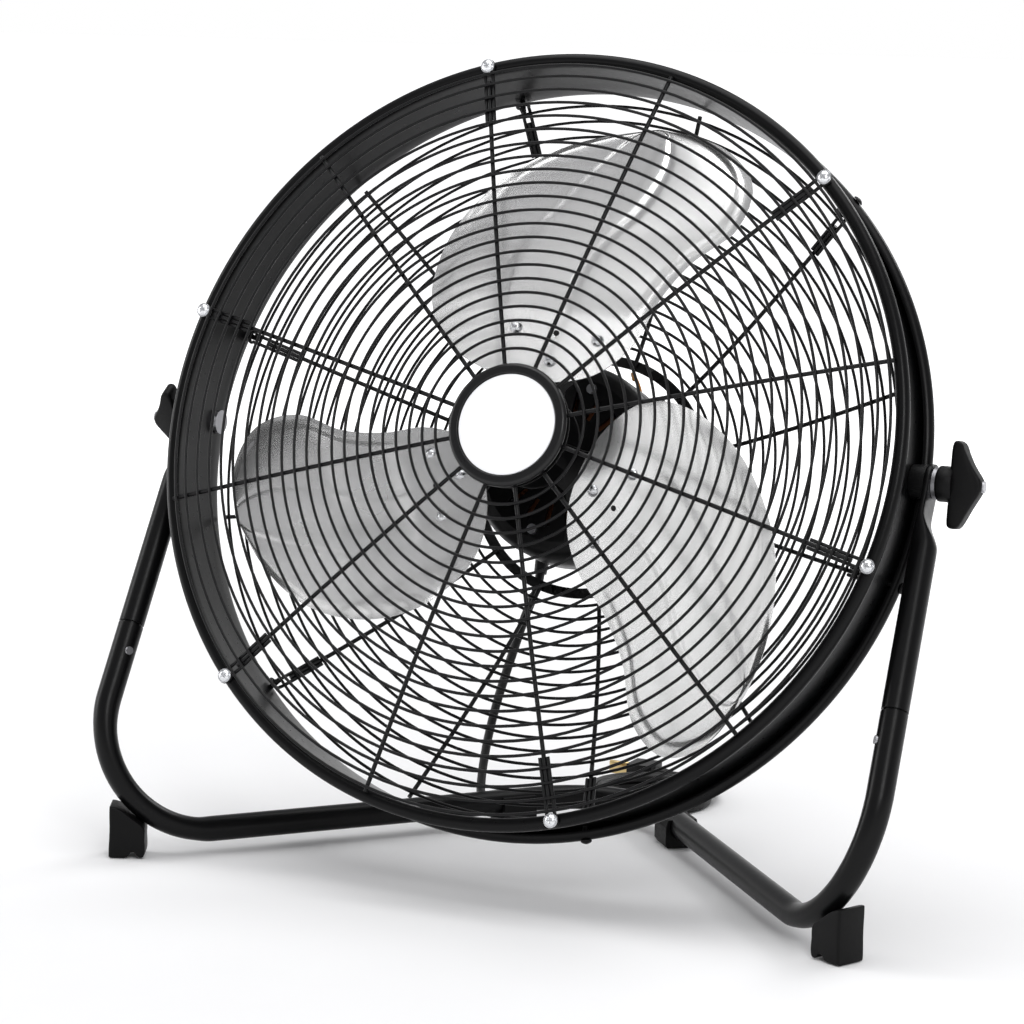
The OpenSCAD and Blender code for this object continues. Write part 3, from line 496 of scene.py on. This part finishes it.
def leg_pieces(sign):
    """Upper leg: tube, pressed transition and flat end, as one skin."""
    rake = math.atan(LEG_LEAN)
    sections = []
    lengths = [166.0, 165.2, 150, 110, 80, 60, 52, 48, 45, 42, 39, 36, 33, 30, 27, 24, 20, 10, 0]
    for s in lengths:
        e = float(smoothstep(50.0, 24.0, s)) if s < 50 else 0.0
        z = PIVOT_Z - s * math.cos(rake)
        c = leg_point(z)
        plate = np.array([PLATE_MID, PIVOT_Y - s * math.sin(rake), z])
        c = c * (1 - e) + plate * e
        round_part = TUBE_R * (1 - e)
        sections.append((c, round_part + PLATE_HALF_T * e, round_part + PLATE_HALF_W * e, 2 + 4 * e))
    # Rounded top of the plate.
    for a in range(10, 90, 10):
        s = -PLATE_HALF_W * math.sin(math.radians(a))
        z = PIVOT_Z - s * math.cos(rake)
        c = np.array([PLATE_MID, PIVOT_Y - s * math.sin(rake), z])
        sections.append((c, PLATE_HALF_T, max(PLATE_HALF_W * math.cos(math.radians(a)), 0.5), 6))
    across = np.array([0, math.cos(rake), -math.sin(rake)])
    sides = 40
    verts, faces = [], []
    for c, half_t, half_w, n in sections:
        for k in range(sides):
            w = 2 * math.pi * k / sides
            cx = math.copysign(abs(math.cos(w)) ** (2 / n), math.cos(w))
            cy = math.copysign(abs(math.sin(w)) ** (2 / n), math.sin(w))
            v = c + np.array([half_t * cx, 0, 0]) + half_w * cy * across
            verts.append((sign * v[0], v[1], v[2]))
    m = len(sections)
    for i in range(m - 1):
        for k in range(sides):
            q = (k + 1) % sides
            faces.append([i * sides + k, i * sides + q, (i + 1) * sides + q, (i + 1) * sides + k])
    faces.append(list(range(sides)))
    faces.append(list(range((m - 1) * sides, m * sides)))
    # Spigot that enters the base tube.
    low, deep = leg_point(SEAM_Z + 1), leg_point(SEAM_Z - 34)
    spigot = tube([low, deep], 8.0, 28, up=(1, 0, 0))
    spigot = ([(sign * v[0], v[1], v[2]) for v in spigot[0]], spigot[1])
    return join([(verts, faces), spigot])


for word, sign in (("right", 1), ("left", -1)):
    make(word + "_leg", *leg_pieces(sign), FLOOR, PAINT, "stand", [word + "_leg_tube"], smooth=45)

# ---------------------------------------------------------------- drum
DRUM_R, DRUM_T = 274.6, 1.0
FRONT_BEAD, FRONT_BEAD_Z = 5.0, 49.4
REAR_BEAD, REAR_BEAD_Z = 5.4, -10.6
SCREW_CIRCLE = 280.0
SCREW_FIRST, SPOKE_FIRST = 45.0, 15.0


def drum_profile():
    """Closed outline of the rolled sheet: rear curl, straight wall, front curl."""
    half = DRUM_T / 2
    mid = DRUM_R + half
    rear_c = DRUM_R + REAR_BEAD
    front_c = DRUM_R + FRONT_BEAD
    line = arc(rear_c, REAR_BEAD_Z, REAR_BEAD - half, 100, -172, 26)
    for z in np.linspace(REAR_BEAD_Z + 2, FRONT_BEAD_Z - 2, 12):
        line.append((mid, z))
    line += arc(front_c, FRONT_BEAD_Z, FRONT_BEAD - half, 172, -100, 26)
    p = np.array(line)
    t = np.gradient(p, axis=0)
    t = t / np.linalg.norm(t, axis=1)[:, None]
    normal = np.stack([-t[:, 1], t[:, 0]], axis=1)
    return [tuple(q) for q in p + half * normal] + [tuple(q) for q in (p - half * normal)[::-1]]


make("drum_skin", *revolve(drum_profile(), 256), HEAD, DRUM_PAINT, "head", ["drum_shell"], smooth=50)

# ---------------------------------------------------------------- guards
RING_FIRST, EDGE_RING_SHIFT, RING_PITCH, FRONT_RINGS = 275.0, 1.6, 10.4, 22
RING_WIRE, SPOKE_WIRE, LOOP_WIRE = 2.3, 3.2, 2.6
SPOKE_DROP = (RING_WIRE + SPOKE_WIRE) / 2 + 0.05
BESIDE = (SPOKE_WIRE + LOOP_WIRE) / 2 + 0.05
LOOP_R = 4.3
LOOP_Z = FRONT_BEAD_Z + FRONT_BEAD + LOOP_WIRE / 2 + 0.1
WELD = 0.35


def dome(r):
    t = (RING_FIRST - r) / 230
    return 58.35 + 17.1 * t + 12 * t * (1 - t)


def dome_wire(a, b, n=24):
    return [(a + (b - a) * i / n, 0.0, dome(a + (b - a) * i / n) - SPOKE_DROP) for i in range(n + 1)]


def hairpin():
    """Wire that runs beside a spoke, round a screw and back."""
    def height(r):
        e = float(smoothstep(250, SCREW_CIRCLE, r))
        return (dome(r) - SPOKE_DROP) * (1 - e) + LOOP_Z * e
    leg = [(r, BESIDE, height(r)) for r in (236, 243, 250, 257, 264, 270)]
    eye = [(SCREW_CIRCLE + LOOP_R * math.cos(math.radians(a)), LOOP_R * math.sin(math.radians(a)), LOOP_Z)
           for a in range(136, -137, -16)]
    return smooth_open(leg + eye + [(x, -y, z) for x, y, z in leg[::-1]], 2)


def make_front_guard():
    radii = [RING_FIRST - (RING_PITCH * i if i else EDGE_RING_SHIFT) for i in range(FRONT_RINGS)]
    rings = [ring(r, dome(r) - WELD, RING_WIRE / 2) for r in radii]
    make("front_ring_wires", *join(rings), HEAD, WIRE, "head", ["front_guard_rings"], smooth=180)
    wires = []
    for k in range(6):
        short = turned(dome_wire(40, 277), SPOKE_FIRST + 60 * k)
        wires.append(tube(short, SPOKE_WIRE / 2, 12))
        long = turned(dome_wire(40, 268), SCREW_FIRST + 60 * k)
        wires.append(tube(long, SPOKE_WIRE / 2, 12))
        wires.append(tube(turned(hairpin(), SCREW_FIRST + 60 * k), LOOP_WIRE / 2, 12))
    make("front_radial_wires", *join(wires), HEAD, WIRE, "head", ["front_guard_spokes"], smooth=60)


make_front_guard()

DISH_RIM, REAR_FIRST, REAR_PITCH, REAR_RINGS = 272.2, 267.0, 10.4, 17
REAR_IN, REAR_DEPTH = 89.0, 67.8
EYE_R = 271.6


def dish(r):
    t = (DISH_RIM - r) / (DISH_RIM - REAR_IN)
    return -15 - REAR_DEPTH * (1 - max(0.0, 1 - t) ** 1.35)


def dish_wire(a, b, n=24):
    return [(a + (b - a) * i / n, 0.0, dish(a + (b - a) * i / n)) for i in range(n + 1)]


def rear_eye():
    leg = [(r, BESIDE, dish(r)) for r in (238, 247, 256, 263)] + [(269, BESIDE, -16.6)]
    turn = [(EYE_R, LOOP_R * math.sin(math.radians(a)), REAR_BEAD_Z + LOOP_R * math.cos(math.radians(a)))
            for a in range(130, -131, -20)]
    return smooth_open(leg + turn + [(x, -y, z) for x, y, z in leg[::-1]], 2)


def make_rear_guard():
    rings = []
    for i in range(REAR_RINGS):
        r = REAR_FIRST - REAR_PITCH * i
        rings.append(ring(r, dish(r) + SPOKE_DROP - WELD, RING_WIRE / 2))
    make("rear_ring_wires", *join(rings), HEAD, WIRE, "head", ["rear_guard_rings"], smooth=180)
    wires = []
    for k in range(6):
        wires.append(tube(turned(dish_wire(REAR_IN, 271), SPOKE_FIRST + 60 * k), SPOKE_WIRE / 2, 12))
        wires.append(tube(turned(dish_wire(REAR_IN, 262), SCREW_FIRST + 60 * k), SPOKE_WIRE / 2, 12))
        wires.append(tube(turned(rear_eye(), SCREW_FIRST + 60 * k), LOOP_WIRE / 2, 12, up=(0.3, 0, 1)))
    make("rear_radial_wires", *join(wires), HEAD, WIRE, "head", ["rear_guard_spokes"], smooth=60)


make_rear_guard()

# ---------------------------------------------------------------- hub
HUB_R, BADGE_R, CAP_BACK = 45.0, 36.7, 74.6


def make_hub():
    front = CAP_BACK + 6
    cap = [(30, CAP_BACK + 1.2), (42.0, CAP_BACK + 1.2), (42.6, CAP_BACK + 0.1), (44.2, CAP_BACK + 0.1)]
    cap += arc(HUB_R - 3.4, front - 3.4, 3.4, 0, 90, 10)
    cap += arc(BADGE_R + 1.4, front - 0.9, 0.9, 90, 180, 5)
    cap += [(BADGE_R + 0.45, front - 2.1), (30, front - 2.1)]
    make("hub_cap_ring", *join([revolve(cap, 128),
                                lathe([(0, CAP_BACK + 1.25), (31, CAP_BACK + 1.25), (31, front - 2.15),
                                       (0, front - 2.15)], 96)]),
         HEAD, CAP_PLASTIC, "head", ["hub_cap"], smooth=35)
    top = front - 1.0
    badge = [(0, front - 2.05), (BADGE_R, front - 2.05), (BADGE_R, top - 0.5)]
    badge += arc(BADGE_R - 0.5, top - 0.5, 0.5, 0, 90, 5)
    badge += [(BADGE_R - 2, top + 0.05), (20, top + 0.25), (0, top + 0.3)]
    make("hub_badge_disc", *lathe(badge, 128), HEAD, BADGE, "head", ["hub_badge"], smooth=35)


make_hub()

# ---------------------------------------------------------------- knobs and feet
def slab(outline, thickness, edge, n=4):
    """Moulded plate with rounded rims: outline in (u, w), thickness along v."""
    loop = np.array(smooth_loop(outline, n))
    centre = (loop.min(axis=0) + loop.max(axis=0)) / 2
    reach = (loop.max(axis=0) - loop.min(axis=0)) / 2
    layers = [(-thickness / 2 + edge * (1 - math.cos(a)), edge * (1 - math.sin(a)))
              for a in np.linspace(0, math.pi / 2, 5)]
    layers += [(-v, inset) for v, inset in layers[::-1]]
    count = len(loop)
    verts, faces = [], []
    for v, inset in layers:
        shrunk = centre + (loop - centre) * (1 - inset / reach)
        verts.extend((u, v, w) for u, w in shrunk)
    for i in range(len(layers) - 1):
        for k in range(count):
            m = (k + 1) % count
            faces.append([i * count + k, i * count + m, (i + 1) * count + m, (i + 1) * count + k])
    faces.append(list(range(count)))
    faces.append(list(range((len(layers) - 1) * count, len(layers) * count)))
    return verts, faces


WING = [(303.3, -24), (304.2, -29), (308, -30.4), (312.5, -28.5), (319, -16), (325, -5), (326.3, 0),
        (325, 5), (318.5, 14), (313.5, 23), (310.5, 29), (306.5, 30.4), (303.6, 27), (303.3, 10),
        (303.3, -8)]
WASHER_FACE = 294.7
STEM_END = 304.5
WING_T, WING_EDGE = 14, 2.6
FOOT_WIDTH, FOOT_EDGE = 25, 1.8


def make_knob(word, sign, lean):
    turn = Matrix.Rotation(math.radians(lean), 4, "X")
    flip = Matrix.Diagonal((sign, 1, 1, 1))
    place = Matrix.Translation(PIVOT) @ Matrix.Scale(MM, 4) @ flip @ turn
    stem = [(0, WASHER_FACE), (11.3, WASHER_FACE), (12.2, WASHER_FACE + 0.4), (12.5, WASHER_FACE + 1.3),
            (12.5, STEM_END), (11.5, STEM_END + 1.2), (0, STEM_END + 1.2)]
    along_x = Matrix.Rotation(math.pi / 2, 4, "Y")
    pair = join([slab(WING, WING_T, WING_EDGE), placed(lathe(stem, 48), along_x)])
    make(word + "_tee_knob", *pair, place, PLASTIC, word + "_knob", [word + "_clamp_knob"], smooth=50)


make_knob("right", 1, -8)
make_knob("left", -1, 35)

FOOT = [(-13.2, 2.6), (-12, 0.3), (-8, 0.1), (-1.6, 0.2), (1.2, 1.6), (3, 4), (6, 4.2), (8, 1.6),
        (10.4, 0.4), (12.8, 1.6), (13.6, 6), (13.2, 14), (12.6, 23), (4, 30), (-5, 36.5), (-11.6, 38.6),
        (-12.8, 36), (-12.6, 20)]


def make_front_foot(word, sign):
    angle = TURN / 2 + math.radians(1)
    p = bend_point(angle)
    t = math.cos(angle) * LEG_DOWN + math.sin(angle) * INWARD
    along = Vector((t[0], t[1], 0)).normalized()
    side = Vector((0, 0, 1)).cross(along)
    upright = (0, 0, 1)
    base = (p[0], p[1], 0)
    frame_at = Matrix(
        [[along[i], side[i], upright[i], base[i]] for i in range(3)] + [[0, 0, 0, 1]])
    place = FLOOR @ Matrix.Diagonal((sign, 1, 1, 1)) @ frame_at
    make(word + "_corner_foot", *slab(FOOT, FOOT_WIDTH, FOOT_EDGE), place, PLASTIC, "stand",
         ["foot_front_" + word], smooth=50)


for word, sign in (("right", 1), ("left", -1)):
    make_front_foot(word, sign)

# ---------------------------------------------------------------- blades
BLADE_FIRST, BLADE_Z, BLADE_T = 92.0, 27.6, 1.0
ROOT_SLOPE, SLOPE_LOSS, CROWN = 0.36, 0.00085, 5.0
OUTLINE = [(44, 0), (48, 38), (68, 70), (104, 83), (145, 77), (182, 56), (210, 26), (230, -16),
           (238, -62), (231, -104), (206, -129), (172, -122), (143, -92), (112, -72), (78, -58),
           (53, -34)]


BLADE_ACROSS = 72
PANEL_RAISE = 1.3
CREASE_AT, CREASE_WIDTH, CREASE_DEPTH = 0.62, 0.012, 0.9
FRONT_ROLL, FRONT_ROLL_WIDTH = 2.6, 16
REAR_LIP, REAR_LIP_WIDTH = 0.8, 5
BLADE_LOW, BLADE_HIGH = -8.2, 58.2
HOLE_AT, HOLE_R = (81, -6, 0), 2.15


def blade_mesh():
    """Pressed paddle: raised inner panel, rolled front edge, lipped rear edge."""
    loop = smooth_loop(OUTLINE, 12)
    half = len(loop) // 2
    across = BLADE_ACROSS
    m = np.linspace(0, 1, across + 1)
    rows = []
    for i in range(half + 1):
        a, b = loop[i], loop[(2 * half - i) % (2 * half)]
        rows.append(a[None, :] + (b - a)[None, :] * m[:, None])
    grid = np.array(rows)
    along, cross = grid[..., 0], grid[..., 1]
    span = np.linspace(0, 1, half + 1)[:, None] * np.ones((1, across + 1))
    frac = m[None, :] * np.ones((half + 1, 1))
    z = BLADE_Z + cross * (ROOT_SLOPE - SLOPE_LOSS * np.maximum(0, along - 105))
    z += CROWN * np.clip((along - 100) / 60, 0, 1) * (1 - (2 * frac - 1) ** 2)
    width = np.linalg.norm(grid[:, -1] - grid[:, 0], axis=1)[:, None]
    from_front = frac * width
    from_rear = (1 - frac) * width
    flat_root = smoothstep(92, 118, along)
    tip = smoothstep(0.985, 0.93, span)
    panel = smoothstep(0.300, 0.345, frac) * smoothstep(9.0, 12.5, from_rear) * tip
    crease = np.exp(-((frac - CREASE_AT) / CREASE_WIDTH) ** 2) * tip
    roll = (1 - smoothstep(0, FRONT_ROLL_WIDTH, from_front)) ** 1.5 * smoothstep(0.99, 0.9, span)
    z += flat_root * (PANEL_RAISE * panel)
    z -= flat_root * CREASE_DEPTH * crease
    z -= flat_root * FRONT_ROLL * roll
    z += flat_root * REAR_LIP * (1 - smoothstep(0, REAR_LIP_WIDTH, from_rear))
    z = np.clip(z, BLADE_LOW, BLADE_HIGH)
    verts = []
    for lift in (-0.5, 0.5):
        for i in range(half + 1):
            for j in range(across + 1):
                verts.append((along[i, j], cross[i, j], z[i, j] + lift * BLADE_T))
    n = across + 1
    q = (half + 1) * n
    faces = []
    for i in range(half):
        for j in range(across):
            a = i * n + j
            faces.append([a, a + 1, a + n + 1, a + n])
            faces.append([q + a, q + a + n, q + a + n + 1, q + a + 1])
    for i in range(half):
        for j in (0, across):
            a = i * n + j
            faces.append([a, a + n, q + a + n, q + a])
    return verts, faces


def weld(piece, distance=0.00002):
    bm = bmesh.new()
    bm.from_mesh(piece.data)
    bmesh.ops.remove_doubles(bm, verts=bm.verts, dist=distance)
    bmesh.ops.recalc_face_normals(bm, faces=bm.faces)
    bm.to_mesh(piece.data)
    bm.free()


def make_blades():
    verts, faces = blade_mesh()
    for k in range(3):
        piece = make("paddle_%d" % (k + 1), turned(verts, BLADE_FIRST + 120 * k), faces, HEAD,
                     ALUMINIUM, "fan", ["blade_%d" % (k + 1)], smooth=180)
        weld(piece)
        piece.data.shade_smooth()
        piece.data.set_sharp_from_angle(angle=math.radians(50))
        # A thin dark disc stands in for the tooling hole near the root.
        slope = math.atan(ROOT_SLOPE)
        local = Matrix.Rotation(math.radians(BLADE_FIRST + 120 * k), 4, "Z") @ Matrix.Translation(
            (0, 0, BLADE_Z)) @ Matrix.Rotation(slope, 4, "X")
        plug = placed(lathe([(0, -0.62), (HOLE_R, -0.62), (HOLE_R, 0.56), (0, 0.56)], 24),
                      local @ Matrix.Translation(HOLE_AT))
        make("blade_hole_%d" % (k + 1), *plug, HEAD, WIRE, "fan")


make_blades()

# ---------------------------------------------------------------- CAD nodes that stay
FINISH = {
    "left_pivot_washer": BOLT, "right_pivot_washer": BOLT,
    "front_screws": ZINC, "front_washers": ZINC, "blade_rivets": ZINC, "cover_screws": BOLT,
    "hub_plate_screws": ZINC, "motor_screws": BOLT, "left_pivot_bolt": BOLT, "right_pivot_bolt": BOLT,
    "left_snap_button": BOLT, "right_snap_button": BOLT, "motor_shaft": ZINC, "hub_set_screw": BOLT,
    "rear_screws": PAINT, "rear_motor_plate": PAINT, "motor_front_bell": PAINT,
    "motor_rear_bell": PAINT, "blade_spider": PAINT, "hub_back_plate": PLASTIC,
    "stator_core": CORE, "rotor_core": CORE, "stator_winding": COPPER, "front_bush": BRASS,
    "rear_bush": BRASS, "motor_lead_orange": ORANGE, "motor_lead_black": JACKET,
    "switch_box": PLASTIC, "switch_box_cover": PLASTIC, "rotary_switch": PLASTIC,
    "run_capacitor": CAPACITOR, "strain_relief": JACKET, "speed_knob": CAP_PLASTIC,
    "left_spacer": PLASTIC, "right_spacer": PLASTIC, "foot_rear_left": PLASTIC,
    "foot_rear_right": PLASTIC, "plug_body": JACKET, "plug_pins": BRASS}
# Rounded edges, in millimetres.
SOFTEN = {
    "speed_knob": 1.0, "foot_rear_left": 1.4, "foot_rear_right": 1.4, "switch_box": 0.6,
    "switch_box_cover": 0.8, "rear_motor_plate": 0.4, "blade_spider": 0.6, "plug_body": 1.2,
    "front_screws": 0.15, "front_washers": 0.2, "left_spacer": 0.6, "right_spacer": 0.6,
    "plug_pins": 0.3, "hub_back_plate": 0.4}


def finish_nodes():
    for name, mat in FINISH.items():
        node = NODES[name]
        if not node.material_slots:
            raise RuntimeError("no material slot on " + name)
        for slot in node.material_slots:
            slot.link = "OBJECT"
            slot.material = mat
        merge = node.modifiers.new("weld", "WELD")
        merge.merge_threshold = 0.00001
        if name in SOFTEN:
            edge = node.modifiers.new("round", "BEVEL")
            edge.width = SOFTEN[name] * MM
            edge.segments = 3
            edge.limit_method = "ANGLE"
            edge.angle_limit = math.radians(35)
            edge.harden_normals = False
            edge.use_clamp_overlap = True


finish_nodes()
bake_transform(lead_piece)


# ---------------------------------------------------------------- stage
def glow_far_away(mat, near, far, level):
    """The floor turns into a lit white sweep between two distances from the fan."""
    tree = mat.node_tree
    place = tree.nodes.new("ShaderNodeTexCoord")
    reach = tree.nodes.new("ShaderNodeVectorMath")
    reach.operation = "LENGTH"
    tree.links.new(place.outputs["Object"], reach.inputs[0])
    span = tree.nodes.new("ShaderNodeMapRange")
    span.interpolation_type = "SMOOTHSTEP"
    span.inputs["From Min"].default_value = near
    span.inputs["From Max"].default_value = far
    span.inputs["To Max"].default_value = level
    tree.links.new(reach.outputs["Value"], span.inputs["Value"])
    shader = tree.nodes["Principled BSDF"]
    shader.inputs["Emission Color"].default_value = (1, 1, 1, 1)
    tree.links.new(span.outputs["Result"], shader.inputs["Emission Strength"])


def make_stage():
    mesh = bpy.data.meshes.new("studio_floor")
    size = 60
    corners = [(-size, -size, 0), (size, -size, 0), (size, size, 0), (-size, size, 0)]
    mesh.from_pydata(corners, [], [(0, 1, 2, 3)])
    floor = bpy.data.objects.new("studio_floor", mesh)
    floor.location.z = -0.0004
    glow_far_away(FLOOR_PAINT, 0.7, 2.6, 0.75)
    mesh.materials.append(FLOOR_PAINT)
    bpy.context.scene.collection.objects.link(floor)
    make_world()
    make_lights()
    bpy.context.scene.view_settings.view_transform = "Standard"


def make_world():
    """White at the horizon, dimmer overhead."""
    world = bpy.data.worlds.new("studio")
    world.use_nodes = True
    tree = world.node_tree
    place = tree.nodes.new("ShaderNodeTexCoord")
    split = tree.nodes.new("ShaderNodeSeparateXYZ")
    ramp = tree.nodes.new("ShaderNodeValToRGB")
    tree.links.new(place.outputs["Generated"], split.inputs["Vector"])
    tree.links.new(split.outputs["Z"], ramp.inputs["Fac"])
    stops = ramp.color_ramp.elements
    stops[0].position, stops[0].color = 0.06, (1, 1, 1, 1)
    stops[1].position, stops[1].color = 0.4, (0.4, 0.4, 0.41, 1)
    back = tree.nodes["Background"]
    tree.links.new(ramp.outputs["Color"], back.inputs["Color"])
    back.inputs["Strength"].default_value = 1.0
    bpy.context.scene.world = world


def make_lights():
    target = Vector((0, 0, 0.3))
    for name, place, size, power in (
            ("overhead", (0.0, 0.0, 3.6), (3.6, 3.6), 95), ("key", (1.9, -2.6, 2.4), (1.2, 0.9), 30),
            ("side", (-2.8, -0.6, 1.2), (0.7, 1.8), 20), ("back", (0.8, 2.6, 2.0), (1.8, 0.8), 26)):
        data = bpy.data.lights.new(name, "AREA")
        data.shape = "RECTANGLE"
        data.size, data.size_y = size
        data.energy = power
        light = bpy.data.objects.new(name, data)
        light.location = place
        light.rotation_mode = "QUATERNION"
        light.rotation_quaternion = (target - Vector(place)).to_track_quat("-Z", "Y")
        bpy.context.scene.collection.objects.link(light)


make_stage()
